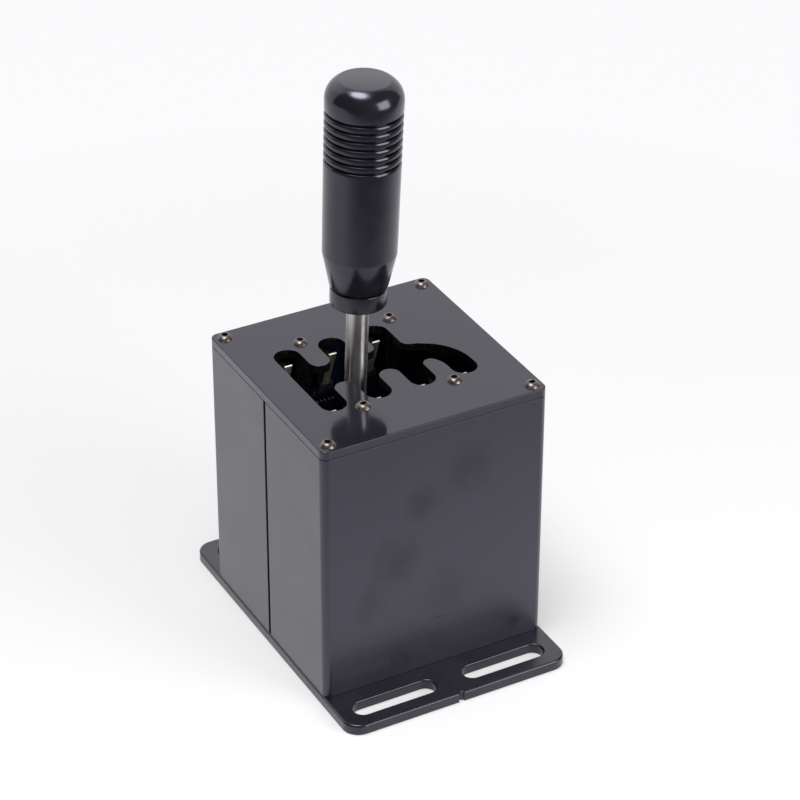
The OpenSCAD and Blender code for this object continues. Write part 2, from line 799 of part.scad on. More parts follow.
// Block on the shift pin that holds the rod
module lever_hub() {
    color([0.5, 0.5, 0.52]) at_lever() difference() {
        rotate([90, 0, 90]) linear_extrude(hub_w, center = true) {
            circle(hub_d / 2);
            translate([-hub_d / 2, 0]) square([hub_d, hub_up]);
        }
        rotate([0, 90, 0]) cylinder(r = pin_r + seat_fit, h = hub_w + 2 * cut, center = true);
        translate([0, 0, rod_foot]) cylinder(d = rod_d + 2 * seat_fit, h = hub_up);
        translate([0, -rod_d / 2, set_screw_z]) rotate([90, 0, 0]) cylinder(d = screw_seat_d, h = hub_d);
    }
}

module shift_pin() {
    color([0.8, 0.8, 0.82]) at_lever() rotate([0, 90, 0]) difference() {
        cylinder(r = pin_r, h = shift_pin_l, center = true);
        for (i = [0, 1]) mirror([0, 0, i]) translate([0, 0, ring_x]) difference() {
            cylinder(r = pin_r + cut, h = ring_t + side_play);
            cylinder(r = pin_r - ring_groove, h = ring_t + side_play);
        }
    }
}

// Open retaining rings in the grooves at both ends of the shift pin
module pin_rings() {
    color([0.35, 0.35, 0.37]) at_lever() for (i = [0, 1])
        mirror([i, 0, 0]) translate([ring_x + side_play / 2, 0, 0]) rotate([0, 90, 0])
            linear_extrude(ring_t) difference() {
                circle(pin_r + ring_w);
                circle(pin_r - ring_groove + seat_fit);
                translate([0, -pin_r / 2]) square([pin_d, pin_r]);
            }
}

module friction_washers() {
    color([0.9, 0.9, 0.86]) at_lever() for (i = [0, 1])
        mirror([i, 0, 0]) translate([hub_w / 2, 0, 0]) rotate([0, 90, 0]) difference() {
            cylinder(r = flange_r, h = washer_t);
            translate([0, 0, -cut]) cylinder(r = pin_r + run_fit, h = washer_t + 2 * cut);
        }
}

module hub_set_screw() {
    grip = (hub_d - rod_d) / 2;
    color([0.25, 0.25, 0.27]) at_lever() translate([0, -rod_d / 2, set_screw_z])
        rotate([90, 0, 0]) difference() {
            translate([0, 0, seat_fit]) cylinder(d = screw_d, h = grip);
            translate([0, 0, grip - socket_depth]) hex_socket(socket_depth + cut);
        }
}

module lever_rod() {
    color([0.78, 0.78, 0.8]) at_lever() translate([0, 0, rod_foot])
        cylinder(d = rod_d, h = rod_top - rod_foot);
}

module knob_collar() {
    b = collar_bevel;
    color([0.12, 0.12, 0.13]) at_lever() translate([0, 0, collar_z]) difference() {
        rotate_extrude() polygon([
            [0, 0], [collar_r - b, 0], [collar_r, b],
            [collar_r, collar_h - b], [collar_r - b, collar_h], [0, collar_h]
        ]);
        translate([0, 0, -cut]) cylinder(d = rod_d + 2 * seat_fit, h = collar_h + 2 * cut);
    }
}

// Section of a grip groove: a square cut with rounded lips, the knob's side at x = 0
module groove_section() {
    mouth = groove_w / 2 + groove_lip;
    translate([-groove_depth, -groove_w / 2]) square([groove_depth + cut, groove_w]);
    difference() {
        translate([-groove_lip, -mouth]) square([groove_lip + cut, 2 * mouth]);
        for (k = [-1, 1]) translate([-groove_lip, k * mouth]) circle(groove_lip);
    }
}

// Half section of the knob: cone, slightly tapered side, rounded shoulder and flat top
module knob_section() {
    polygon([[0, 0], [knob_neck_r, 0], [knob_low_r, knob_cone_h], [knob_top_r, shoulder_z], [0, shoulder_z]]);
    square([knob_top_r - shoulder_r, knob_l]);
    intersection() {
        translate([knob_top_r - shoulder_r, shoulder_z]) circle(shoulder_r);
        translate([0, shoulder_z - cut]) square([knob_top_r, knob_shoulder_h + cut]);
    }
}

// Turned knob with grip grooves, a spigot that stands on the collar and a bore for the rod
module knob_grip() {
    color([0.12, 0.12, 0.13]) at_lever() translate([0, 0, knob_z]) difference() {
        union() {
            rotate_extrude() knob_section();
            translate([0, 0, -joint_groove]) cylinder(r = knob_neck_r - spigot_step, h = joint_groove + cut);
        }
        for (k = [0:groove_count - 1]) {
            z = knob_l - groove_start - k * groove_pitch;
            along = (z - knob_cone_h) / (shoulder_z - knob_cone_h);
            r = knob_low_r + (knob_top_r - knob_low_r) * along;
            translate([0, 0, z]) rotate_extrude() translate([r, 0]) groove_section();
        }
        translate([0, 0, -joint_groove - cut])
            cylinder(d = rod_d + 2 * seat_fit, h = rod_in_knob + joint_groove + 2 * cut);
    }
}

// Switch body with hinge lugs, plunger bore, case holes and tails through the board
module switch_body(i) {
    lug_w = switch_w / 2 - leaf_w / 2 - lug_gap;
    color([0.42, 0.3, 0.2]) at_switch(i) difference() {
        union() {
            translate([-switch_w / 2, switch_face, switch_z]) cube([switch_w, switch_d, switch_l]);
            for (m = [0, 1]) mirror([m, 0, 0])
                translate([leaf_w / 2 + lug_gap, hinge_y - leaf_pin_r - lug_wall, hinge_z - lug_h / 2])
                    cube([lug_w, leaf_stand + leaf_pin_r + lug_wall + cut, lug_h]);
            for (z = tail_z) translate([-tail_w / 2, board_y - cut, z - tail_w / 2])
                cube([tail_w, board_t + tail_out + cut, tail_w]);
        }
        translate([0, hinge_y, hinge_z]) rotate([0, 90, 0])
            cylinder(r = leaf_pin_r + run_fit, h = 2 * switch_w, center = true);
        translate([0, switch_face - cut, plunger_z]) rotate([-90, 0, 0])
            cylinder(r = plunger_d / 2 + run_fit, h = cut + plunger_in + plunger_travel);
        for (z = case_hole_z) translate([0, board_y - case_hole_back, z])
            rotate([0, 90, 0]) cylinder(d = case_hole_d, h = 2 * switch_w, center = true);
    }
}

// Spring leaf on its hinge pin, leaning towards the lever
module switch_leaf(i) {
    pin_l = switch_w - 2 * lug_gap;
    color([0.8, 0.78, 0.72]) at_switch(i) translate([0, hinge_y, hinge_z]) rotate([leaf_angle, 0, 0]) {
        rotate([0, 90, 0]) cylinder(r = leaf_pin_r, h = pin_l, center = true);
        translate([-leaf_w / 2, -leaf_t / 2, 0]) cube([leaf_w, leaf_t, leaf_l]);
    }
}

module switch_plunger(i) {
    color([0.7, 0.1, 0.08]) at_switch(i) translate([0, plunger_tip, plunger_z]) rotate([-90, 0, 0])
        cylinder(d = plunger_d, h = switch_face + plunger_in - plunger_tip);
}

base_plate();
front_cover();
rear_cover();
gate_plate();
corner_posts();
gate_corner_screws();
gate_inner_screws();
base_screws();
board_blocks();
board_screws();
front_switch_board();
rear_switch_board();
pin_header();
controller_chip();
usb_socket();
ribbon_plugs();
link_ribbon();
bearing_block_front();
bearing_block_rear();
bearing_screws();
select_bushes();
spring_seats();
spring_seat_screws();
centring_spring_left();
centring_spring_right();
cradle();
select_pins();
shift_bushes();
lever_hub();
shift_pin();
pin_rings();
friction_washers();
hub_set_screw();
lever_rod();
knob_collar();
knob_grip();
switch_body(0);  // switch_body_1
switch_body(1);  // switch_body_2
switch_body(2);  // switch_body_3
switch_body(3);  // switch_body_4
switch_body(4);  // switch_body_5
switch_body(5);  // switch_body_6
switch_body(6);  // switch_body_reverse
switch_leaf(0);  // switch_leaf_1
switch_leaf(1);  // switch_leaf_2
switch_leaf(2);  // switch_leaf_3
switch_leaf(3);  // switch_leaf_4
switch_leaf(4);  // switch_leaf_5
switch_leaf(5);  // switch_leaf_6
switch_leaf(6);  // switch_leaf_reverse
switch_plunger(0);  // switch_plunger_1
switch_plunger(1);  // switch_plunger_2
switch_plunger(2);  // switch_plunger_3
switch_plunger(3);  // switch_plunger_4
switch_plunger(4);  // switch_plunger_5
switch_plunger(5);  // switch_plunger_6
switch_plunger(6);  // switch_plunger_reverse
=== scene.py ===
import json
import math

import bmesh
import bpy
import numpy as np
from mathutils import Matrix, Vector


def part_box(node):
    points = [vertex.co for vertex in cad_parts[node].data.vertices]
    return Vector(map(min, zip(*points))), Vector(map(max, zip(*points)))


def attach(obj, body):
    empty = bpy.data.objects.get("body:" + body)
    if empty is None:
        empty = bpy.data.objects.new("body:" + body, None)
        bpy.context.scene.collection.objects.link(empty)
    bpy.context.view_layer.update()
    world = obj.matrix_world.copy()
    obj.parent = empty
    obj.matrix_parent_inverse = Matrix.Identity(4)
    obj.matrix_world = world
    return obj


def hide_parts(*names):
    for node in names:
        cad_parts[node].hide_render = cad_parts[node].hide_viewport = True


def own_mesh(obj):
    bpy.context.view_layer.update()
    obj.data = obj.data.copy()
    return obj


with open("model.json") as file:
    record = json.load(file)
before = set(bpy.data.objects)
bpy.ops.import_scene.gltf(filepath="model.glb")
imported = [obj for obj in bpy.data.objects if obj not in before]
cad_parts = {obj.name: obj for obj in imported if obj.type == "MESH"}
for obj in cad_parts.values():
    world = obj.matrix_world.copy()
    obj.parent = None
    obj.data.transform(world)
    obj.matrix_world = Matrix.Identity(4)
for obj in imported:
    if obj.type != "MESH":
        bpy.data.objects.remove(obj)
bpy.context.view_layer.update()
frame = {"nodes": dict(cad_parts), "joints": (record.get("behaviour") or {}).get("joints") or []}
nodes = frame["nodes"]
mm = 0.001


# Base plate. Laser-cut 5 mm steel with four long mounting slots, its edges broken and the whole
# powder coated in satin black. The box stands on it, held from below by countersunk screws.
def finish(name, colour, metallic=0.0, roughness=0.5, **fixed):
    """Material whose even values stand on the shader's own sockets; patterns are linked in later."""
    material = bpy.data.materials.new(name)
    material.use_nodes = True
    shader = material.node_tree.nodes["Principled BSDF"]
    shader.inputs["Base Color"].default_value = (*colour, 1)
    shader.inputs["Metallic"].default_value = metallic
    shader.inputs["Roughness"].default_value = roughness
    for socket, value in fixed.items():
        shader.inputs[socket.replace("_", " ")].default_value = value
    return material


def texture(material, kind, stretch=(1, 1, 1), **inputs):
    """Texture on Object coordinates, in features per metre, drawn out by dividing by stretch."""
    tree = material.node_tree
    place = tree.nodes.new("ShaderNodeTexCoord")
    scale = tree.nodes.new("ShaderNodeMapping")
    scale.inputs["Scale"].default_value = stretch
    node = tree.nodes.new("ShaderNodeTex" + kind)
    for socket, value in inputs.items():
        node.inputs[socket.replace("_", " ")].default_value = value
    tree.links.new(place.outputs["Object"], scale.inputs["Vector"])
    tree.links.new(scale.outputs["Vector"], node.inputs["Vector"])
    return node


def noise(material, scale, detail=3, stretch=(1, 1, 1)):
    """Cloudy noise between 0 and 1, mostly near one half."""
    return texture(material, "Noise", stretch, Scale=scale, Detail=detail).outputs[0]


def spread(material, source, low, high, start=0.35, end=0.65):
    """Value that runs from low to high while the source runs from start to end."""
    node = material.node_tree.nodes.new("ShaderNodeMapRange")
    for socket, value in (("From Min", start), ("From Max", end), ("To Min", low), ("To Max", high)):
        node.inputs[socket].default_value = value
    material.node_tree.links.new(source, node.inputs["Value"])
    return node.outputs["Result"]


def drive(material, socket, source):
    """Links a pattern into one of the shader's sockets."""
    shader = material.node_tree.nodes["Principled BSDF"]
    material.node_tree.links.new(source, shader.inputs[socket])


def tones(material, source, dark, light, start=0.35, end=0.65):
    """Base colour that runs from dark to light while the source runs from start to end."""
    ramp = material.node_tree.nodes.new("ShaderNodeValToRGB")
    for element, at, colour in zip(ramp.color_ramp.elements, (start, end), (dark, light)):
        element.position = at
        element.color = (*colour, 1)
    material.node_tree.links.new(source, ramp.inputs["Fac"])
    drive(material, "Base Color", ramp.outputs["Color"])
    return ramp.outputs["Color"]


def relief(material, source, depth):
    """Bump of that depth in metres, laid over any relief that the material has already."""
    tree = material.node_tree
    shader = tree.nodes["Principled BSDF"]
    bump = tree.nodes.new("ShaderNodeBump")
    bump.inputs["Distance"].default_value = depth
    tree.links.new(source, bump.inputs["Height"])
    for link in list(shader.inputs["Normal"].links):
        tree.links.new(link.from_socket, bump.inputs["Normal"])
    tree.links.new(bump.outputs["Normal"], shader.inputs["Normal"])


def piece(name, mesh, material, slot, body, *stands_for):
    """Object at the origin with that mesh and finish, riding on a body for CAD nodes; the slot is not used.
    """
    made = bpy.data.objects.new(name, mesh)
    bpy.context.scene.collection.objects.link(made)
    mesh.materials.clear()
    mesh.materials.append(material)
    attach(made, body)
    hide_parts(*stands_for)
    return made


def eased(node, name, material, slot, edge, body="housing"):
    """CAD solid with its triangles merged, its flats dissolved and its sharp edges rounded off."""
    form = bmesh.new()
    form.from_mesh(nodes[node].data)
    bmesh.ops.remove_doubles(form, verts=form.verts, dist=2e-6)
    bmesh.ops.dissolve_limit(form, angle_limit=math.radians(0.3), verts=form.verts, edges=form.edges)
    mesh = bpy.data.meshes.new(name)
    form.to_mesh(mesh)
    form.free()
    for layer in [a.name for a in mesh.attributes if a.name in ("custom_normal", "sharp_edge", "sharp_face")]:
        mesh.attributes.remove(mesh.attributes[layer])
    mesh.polygons.foreach_set("use_smooth", np.ones(len(mesh.polygons), bool))
    made = piece(name, mesh, material, slot, body, node)
    round_off = made.modifiers.new("edge", "BEVEL")
    round_off.width = edge
    round_off.segments = 3
    round_off.limit_method = "ANGLE"
    round_off.angle_limit = math.radians(28)
    round_off.use_clamp_overlap = False
    made.modifiers.new("flats", "WEIGHTED_NORMAL").keep_sharp = False
    return made


black_sheen = (0.86, 0.81, 1.0, 1)
base_satin = finish("satin_black_powder", (0.008, 0.008, 0.012), roughness=0.3, IOR=1.5,
                    Specular_Tint=black_sheen, Coat_Weight=0.35, Coat_Roughness=0.2)
tones(base_satin, noise(base_satin, 60), (0.005, 0.005, 0.008), (0.011, 0.011, 0.016))
drive(base_satin, "Roughness", spread(base_satin, noise(base_satin, 140, 5), 0.24, 0.36))
relief(base_satin, noise(base_satin, 1500, 2), 2.5e-6)
base_edge = 0.32 * mm
eased("base_plate", "base_plate_coated", base_satin, "base_black", base_edge)


# Corner posts and the frame's small fasteners. The posts are milled aluminium bars between the base
# and the gate; the countersunk screws in the base are black oxide steel.
def dress(material, *names):
    """Puts a finish on CAD nodes that keep their own shape."""
    for name in names:
        for slot in nodes[name].material_slots:
            slot.material = material


milled = finish("milled_aluminium", (0.56, 0.56, 0.58), 1.0, 0.36)
tones(milled, noise(milled, 90), (0.53, 0.53, 0.55), (0.59, 0.59, 0.61))
drive(milled, "Roughness", spread(milled, noise(milled, 900, 3, (1, 1, 0.06)), 0.32, 0.42))
relief(milled, noise(milled, 1600, 2, (1, 1, 0.05)), 1.5e-6)
dress(milled, "corner_posts", "spring_seats", "bearing_block_front", "bearing_block_rear", "cradle",
      "lever_hub")
oxide = finish("black_oxide_steel", (0.05, 0.05, 0.052), 1.0, 0.42)
tones(oxide, noise(oxide, 500), (0.035, 0.035, 0.037), (0.075, 0.073, 0.07))
drive(oxide, "Roughness", spread(oxide, noise(oxide, 1200, 4), 0.34, 0.52))
relief(oxide, noise(oxide, 2500, 2), 3e-6)
dress(oxide, "base_screws", "bearing_screws", "spring_seat_screws", "hub_set_screw", "pin_rings",
      "board_screws", "board_blocks")


# Covers. Two U-shaped sheets of 1.5 mm steel, folded with small bends and coated in satin black.
# They meet in a narrow seam at each side; the front one carries marks of handling and a scratch.
front_y = -55.0
front_reach = 20
tear = 1.6
cover_edge = 0.22 * mm
handled = ((-7, 94, 9, 10, 0.8), (-20, 67, 13, 15, 0.8), (-33, 50, 8, 11, 0.7), (16, 106, 14, 14, 0.6),
           (6, 45, 13, 14, 0.45), (-21, 14, 2.4, 2.4, 0.6), (42, 15, 3.6, 3.6, 0.7), (-37.6, 24.6, 1, 1, 0.8),
           (0.9, 30, 6.0, 0.9, 1.0))


def marked(material, marks):
    """Value that is 1 on clean coating and sinks inside each mark (x, z, half width, half height,
    depth in mm): the length of ((place - centre) / half size + ragged noise) run from 0.3 to 1.1."""
    tree = material.node_tree
    place = tree.nodes.new("ShaderNodeTexCoord").outputs["Object"]
    ragged = texture(material, "Noise", Scale=110, Detail=4).outputs["Color"]
    clean = spread(material, noise(material, 30, 4), 0.9, 1.0)
    for x, z, half_w, half_h, depth in marks:
        centre, size = (x, front_y, z), (half_w, front_reach, half_h)
        local = tree.nodes.new("ShaderNodeMapping")
        local.inputs["Scale"].default_value = [1 / (s * mm) for s in size]
        local.inputs["Location"].default_value = [-c / s for c, s in zip(centre, size)]
        torn = tree.nodes.new("ShaderNodeVectorMath")
        torn.operation = "MULTIPLY_ADD"
        torn.inputs[1].default_value = (tear, tear, tear)
        shifted = tree.nodes.new("ShaderNodeVectorMath")
        shifted.inputs[1].default_value = (-tear / 2, -tear / 2, -tear / 2)
        reach = tree.nodes.new("ShaderNodeVectorMath")
        reach.operation = "LENGTH"
        both = tree.nodes.new("ShaderNodeMath")
        both.operation = "MULTIPLY"
        tree.links.new(place, local.inputs["Vector"])
        tree.links.new(ragged, torn.inputs[0])
        tree.links.new(local.outputs["Vector"], torn.inputs[2])
        tree.links.new(torn.outputs["Vector"], shifted.inputs[0])
        tree.links.new(shifted.outputs["Vector"], reach.inputs[0])
        tree.links.new(clean, both.inputs[0])
        tree.links.new(spread(material, reach.outputs["Value"], 1 - depth, 1, 0.3, 1.1), both.inputs[1])
        clean = both.outputs["Value"]
    return clean


cover_satin = finish("satin_black_cover", (0.02, 0.019, 0.028), roughness=0.34, IOR=1.48,
                     Specular_Tint=(0.74, 0.68, 1.0, 1), Coat_Weight=0.55, Coat_Roughness=0.28)
tones(cover_satin, marked(cover_satin, handled), (0.001, 0.001, 0.0015), (0.02, 0.019, 0.028), 0, 1)
drive(cover_satin, "Roughness", spread(cover_satin, noise(cover_satin, 30, 4), 0.3, 0.36))
relief(cover_satin, noise(cover_satin, 1400, 2), 4e-6)
seam_reach = 1.0 * mm
seam_ease = 1.5
for side in ("front", "rear"):
    cover = eased(side + "_cover", side + "_cover_folded", cover_satin, "cover_black", cover_edge)
    corners = np.empty(3 * len(cover.data.vertices))
    cover.data.vertices.foreach_get("co", corners)
    corners = corners.reshape(-1, 3)
    corners[np.abs(corners[:, 1]) < seam_reach, 1] *= seam_ease
    cover.data.vertices.foreach_set("co", corners.ravel())


# Gate plate. 4 mm plate with the slots of the six gears and the curved way into reverse cut in one
# pass: gloss black on top with a little dust, satin round the outside and dull in the cuts, where a
# darker colour is painted shade.
gate_edge = 0.12 * mm
outside = 50 * mm
steep = 0.3
gate_gloss = finish("gloss_black_gate", (0.016, 0.0155, 0.023), roughness=0.09, IOR=1.52,
                    Specular_Tint=black_sheen)
dust = texture(gate_gloss, "Voronoi", Scale=300).outputs["Distance"]
tones(gate_gloss, dust, (0.14, 0.14, 0.15), (0.015, 0.0145, 0.021), 0.02, 0.05)
drive(gate_gloss, "Roughness", spread(gate_gloss, noise(gate_gloss, 45, 6), 0.06, 0.12))
relief(gate_gloss, noise(gate_gloss, 900, 2), 0.8e-6)
gate = eased("gate_plate", "gate_plate_gloss", gate_gloss, "gate_black", gate_edge)
# Slot walls: a duller finish, with a darker colour that is painted shade in the cuts.
slot_wall_shade = finish("slot_wall_black_painted_shade", (0.003, 0.003, 0.004), roughness=0.28, IOR=1.35)
tones(slot_wall_shade, noise(slot_wall_shade, 200), (0.002, 0.002, 0.003), (0.005, 0.005, 0.006))
drive(slot_wall_shade, "Roughness", spread(slot_wall_shade, noise(slot_wall_shade, 500, 3, (1, 1, 0.2)), 0.22, 0.36))
gate.data.materials.append(cover_satin)
gate.data.materials.append(slot_wall_shade)
facing = np.empty(3 * len(gate.data.polygons))
middle = np.empty(3 * len(gate.data.polygons))
gate.data.polygons.foreach_get("normal", facing)
gate.data.polygons.foreach_get("center", middle)
upright_face = np.abs(facing.reshape(-1, 3)[:, 2]) < steep
outer_face = np.abs(middle.reshape(-1, 3)[:, :2]).max(1) > outside
gate.data.polygons.foreach_set("material_index", np.where(upright_face, 2 - outer_face, 0).astype(np.int32))


# Gate screws. M4 button heads in dark nickel with hex sockets, four in the corner posts and four
# in the blocks that carry the switch boards.
head_r = 3.7
head_h = 2.2
socket_half = 1.3
socket_floor = -0.5
shank_r = 2.0
shank_l = 16.0


def mesh_from_rows(name, points, first_pole=True, last_pole=True, loop=False):
    """Skin over rows of points that run round an axis; end rows may close in a pole, or row to row."""
    rows, sides = points.shape[:2]
    index = np.arange(rows * sides).reshape(rows, sides)
    a = np.concatenate([index, index[:1]]) if loop else index
    b = np.roll(a, -1, axis=1)
    faces = np.stack([a[:-1], b[:-1], b[1:], a[1:]], -1).reshape(-1, 4).tolist()
    cloud = points.reshape(-1, 3)
    for row, wanted, turn in ((0, first_pole, 1), (rows - 1, last_pole, -1)):
        if wanted and not loop:
            ring = np.stack([np.full(sides, len(cloud)), b[row], a[row]], -1)[:, ::turn]
            cloud = np.vstack([cloud, points[row].mean(0)])
            faces += ring.tolist()
    mesh = bpy.data.meshes.new(name)
    mesh.from_pydata(cloud * mm, [], faces)
    mesh.polygons.foreach_set("use_smooth", np.ones(len(mesh.polygons), bool))
    mesh.set_sharp_from_angle(angle=math.radians(32))
    return mesh


def joined(name, meshes):
    """One mesh from several, each kept as its own shell."""
    form = bmesh.new()
    for mesh in meshes:
        form.from_mesh(mesh)
        bpy.data.meshes.remove(mesh)
    whole = bpy.data.meshes.new(name)
    form.to_mesh(whole)
    form.free()
    return whole


def button_head(centre, turn):
    """Rows from the socket floor outwards: hexagon rows of radius half / cos(angle from a flat's
    middle), then round rows over a dome z = height (1 - (r / R)^2.6), the rim and the shank."""
    round_angle = np.linspace(0, 2 * np.pi, 72, endpoint=False)
    flat = (round_angle + np.pi / 6) % (np.pi / 3) - np.pi / 6
    hexagon = socket_half / np.cos(flat)
    dome = np.linspace(0.52, 0.985, 12)
    rows = [(0.5 * hexagon, socket_floor), (hexagon, socket_floor), (hexagon, head_h - 0.32),
            (hexagon + 0.12, head_h - 0.16)]
    rows += [(head_r * d + 0 * flat, (head_h - 0.1) * (1 - d ** 3.2) + 0.14) for d in dome]
    rows += [(head_r + 0 * flat, 0.22), (head_r + 0 * flat, 0.05), (head_r - 0.15 + 0 * flat, 0.0),
             (shank_r + 0 * flat, 0.0), (shank_r + 0 * flat, 0.3 - shank_l),
             (shank_r - 0.3 + 0 * flat, -shank_l)]
    r = np.array([row[0] for row in rows])
    z = np.array([row[1] for row in rows])[:, None] + 0 * r
    angle = round_angle + turn
    return np.stack([centre[0] + r * np.cos(angle), centre[1] + r * np.sin(angle), centre[2] + z], -1)


nickel = finish("dark_nickel", (0.16, 0.132, 0.128), 1.0, 0.34)
tones(nickel, noise(nickel, 700, 4), (0.11, 0.09, 0.087), (0.21, 0.176, 0.168))
drive(nickel, "Roughness", spread(nickel, noise(nickel, 1600, 4), 0.26, 0.44))
relief(nickel, noise(nickel, 2600, 2), 2.5e-6)
for group, socket_turns in (("gate_corner_screws", (0.2, 0.7, 0.45, 0.9)),
                            ("gate_inner_screws", (0.6, 0.1, 0.85, 0.3))):
    low, high = (np.array(corner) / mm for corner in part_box(group))
    middle, half = (low + high) / 2, (high - low) / 2 - head_r
    seat_z = high[2] - head_h
    places = [(middle[0] + i * half[0], middle[1] + j * half[1], seat_z) for i in (-1, 1) for j in (-1, 1)]
    heads = [mesh_from_rows(group, button_head(place, turn)) for place, turn in zip(places, socket_turns)]
    piece(group + "_nickel", joined(group, heads), nickel, "screw_nickel", "housing", group)


# Pivot. Bronze bushes and ground pins carry the cradle and the lever hub, with nylon washers that
# give the shift its friction.
bronze = finish("sintered_bronze", (0.58, 0.4, 0.2), 1.0, 0.4)
tones(bronze, noise(bronze, 1500, 4), (0.42, 0.28, 0.13), (0.66, 0.47, 0.25))
drive(bronze, "Roughness", spread(bronze, noise(bronze, 2000, 3), 0.3, 0.5))
relief(bronze, noise(bronze, 2200, 2), 6e-6)
dress(bronze, "select_bushes", "shift_bushes")
ground = finish("ground_steel", (0.66, 0.65, 0.63), 1.0, 0.16)
tones(ground, noise(ground, 70, 3), (0.6, 0.59, 0.57), (0.7, 0.69, 0.67))
drive(ground, "Roughness", spread(ground, noise(ground, 300, 4, (1, 1, 9)), 0.12, 0.22))
relief(ground, noise(ground, 1500, 2, (1, 1, 12)), 1e-6)
dress(ground, "select_pins", "shift_pin")
nylon = finish("natural_nylon", (0.82, 0.8, 0.72), roughness=0.45, Subsurface_Weight=0.1)
tones(nylon, noise(nylon, 200), (0.78, 0.76, 0.68), (0.86, 0.84, 0.77))
drive(nylon, "Roughness", spread(nylon, noise(nylon, 900), 0.38, 0.52))
relief(nylon, noise(nylon, 1200, 2), 5e-6)
dress(nylon, "friction_washers")


# Centring springs. Drawn steel wire wound in six turns with closed ends; one stands on each side of
# the pivot between its seat and the cradle.
wire_r = 0.5
coil_r = 4.5
turns = 6.0
closed = 0.11
end_rise = 0.13


def coil(low, high):
    """Tube along a helix: the rise is flat over the first and last turns, and cosine-eased between."""
    centre = (low + high) / 2
    along = np.linspace(0, 1, 240)
    angle = 2 * np.pi * turns * along
    ease = np.clip((along - closed) / (1 - 2 * closed), 0, 1)
    lift = end_rise * along + (1 - end_rise) * (ease - np.sin(2 * np.pi * ease) / (2 * np.pi) * 0.25)
    height = low[2] + wire_r + lift * (high[2] - low[2] - 2 * wire_r)
    out = np.stack([np.cos(angle), np.sin(angle), 0 * angle], -1)
    path = coil_r * out + np.stack([0 * angle + centre[0], 0 * angle + centre[1], height], -1)
    tangent = np.gradient(path, axis=0)
    tangent /= np.linalg.norm(tangent, axis=1, keepdims=True)
    up = np.cross(out, tangent)
    around = np.linspace(0, 2 * np.pi, 14, endpoint=False)[None, :, None]
    return path[:, None] + wire_r * (np.cos(around) * out[:, None] + np.sin(around) * up[:, None])


drawn = finish("drawn_spring_wire", (0.5, 0.5, 0.5), 1.0, 0.28)
tones(drawn, noise(drawn, 400), (0.42, 0.42, 0.42), (0.56, 0.56, 0.56))
drive(drawn, "Roughness", spread(drawn, noise(drawn, 1500), 0.2, 0.36))
relief(drawn, noise(drawn, 2500, 2), 2e-6)
for side in ("left", "right"):
    low, high = (np.array(corner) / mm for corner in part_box("centring_spring_" + side))
    spring = piece("spring_wire_" + side, mesh_from_rows("spring_wire_" + side, coil(low, high)), drawn,
                   "spring_steel", "housing", "centring_spring_" + side)
    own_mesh(spring)


# Switch boards. Dark blue circuit boards screwed to blocks under the gate, with a row of tinned
# pins, a controller, the square socket for the lead and a grey ribbon that joins them.
board = finish("blue_solder_mask", (0.004, 0.01, 0.045), roughness=0.35)
track = texture(board, "Brick", (1, 1, 1), Scale=180, Mortar_Size=0.012).outputs["Fac"]
tones(board, track, (0.003, 0.008, 0.035), (0.007, 0.018, 0.07), 0.2, 0.8)
drive(board, "Roughness", spread(board, noise(board, 700), 0.24, 0.38))
relief(board, track, 20e-6)
dress(board, "front_switch_board", "rear_switch_board")
tinned = finish("tinned_pins_with_painted_shade", (0.7, 0.72, 0.78), 1.0, 0.4)
pin_axes = tinned.node_tree.nodes.new("ShaderNodeSeparateXYZ")
pin_place = tinned.node_tree.nodes.new("ShaderNodeTexCoord")
tinned.node_tree.links.new(pin_place.outputs["Object"], pin_axes.inputs[0])
# Painted shade: the pins are painted nearly black except within 1.6 mm of their tips, which keep the light
# tinned colour.
tip_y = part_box("pin_header")[0][1]
painted_shade_behind_tips = spread(tinned, pin_axes.outputs["Y"], 1, 0, tip_y + 1.6 * mm, tip_y + 2.0 * mm)
tones(tinned, painted_shade_behind_tips, (0.01, 0.012, 0.03), (0.8, 0.82, 0.88), 0, 1)
drive(tinned, "Roughness", spread(tinned, noise(tinned, 2000), 0.34, 0.48))
dress(tinned, "pin_header")
moulded = finish("moulded_black", (0.02, 0.02, 0.021), roughness=0.5)
tones(moulded, noise(moulded, 800), (0.016, 0.016, 0.017), (0.027, 0.027, 0.028))
drive(moulded, "Roughness", spread(moulded, noise(moulded, 1500), 0.42, 0.6))
relief(moulded, noise(moulded, 2400, 2), 8e-6)
dress(moulded, "controller_chip", "ribbon_plugs")
plated = finish("plated_shell", (0.66, 0.65, 0.63), 1.0, 0.24)
tones(plated, noise(plated, 500), (0.58, 0.57, 0.55), (0.72, 0.71, 0.69))
drive(plated, "Roughness", spread(plated, noise(plated, 1200, 3, (1, 0.1, 1)), 0.17, 0.34))
dress(plated, "usb_socket")
ribbon = finish("grey_ribbon", (0.32, 0.32, 0.34), roughness=0.5)
ribs_and_groove_shade = texture(ribbon, "Wave", (0, 0, 1), Scale=126, Distortion=0.0)
ribs_and_groove_shade.bands_direction = "Z"
# Painted shade: the ribbon is painted darker in the grooves between its wires and lighter on the ridges,
# following the waves of its relief.
tones(ribbon, ribs_and_groove_shade.outputs["Fac"], (0.25, 0.25, 0.27), (0.37, 0.37, 0.39), 0.1, 0.7)
relief(ribbon, ribs_and_groove_shade.outputs["Fac"], 0.25 * mm)
drive(ribbon, "Roughness", spread(ribbon, noise(ribbon, 900), 0.42, 0.58))
dress(ribbon, "link_ribbon")


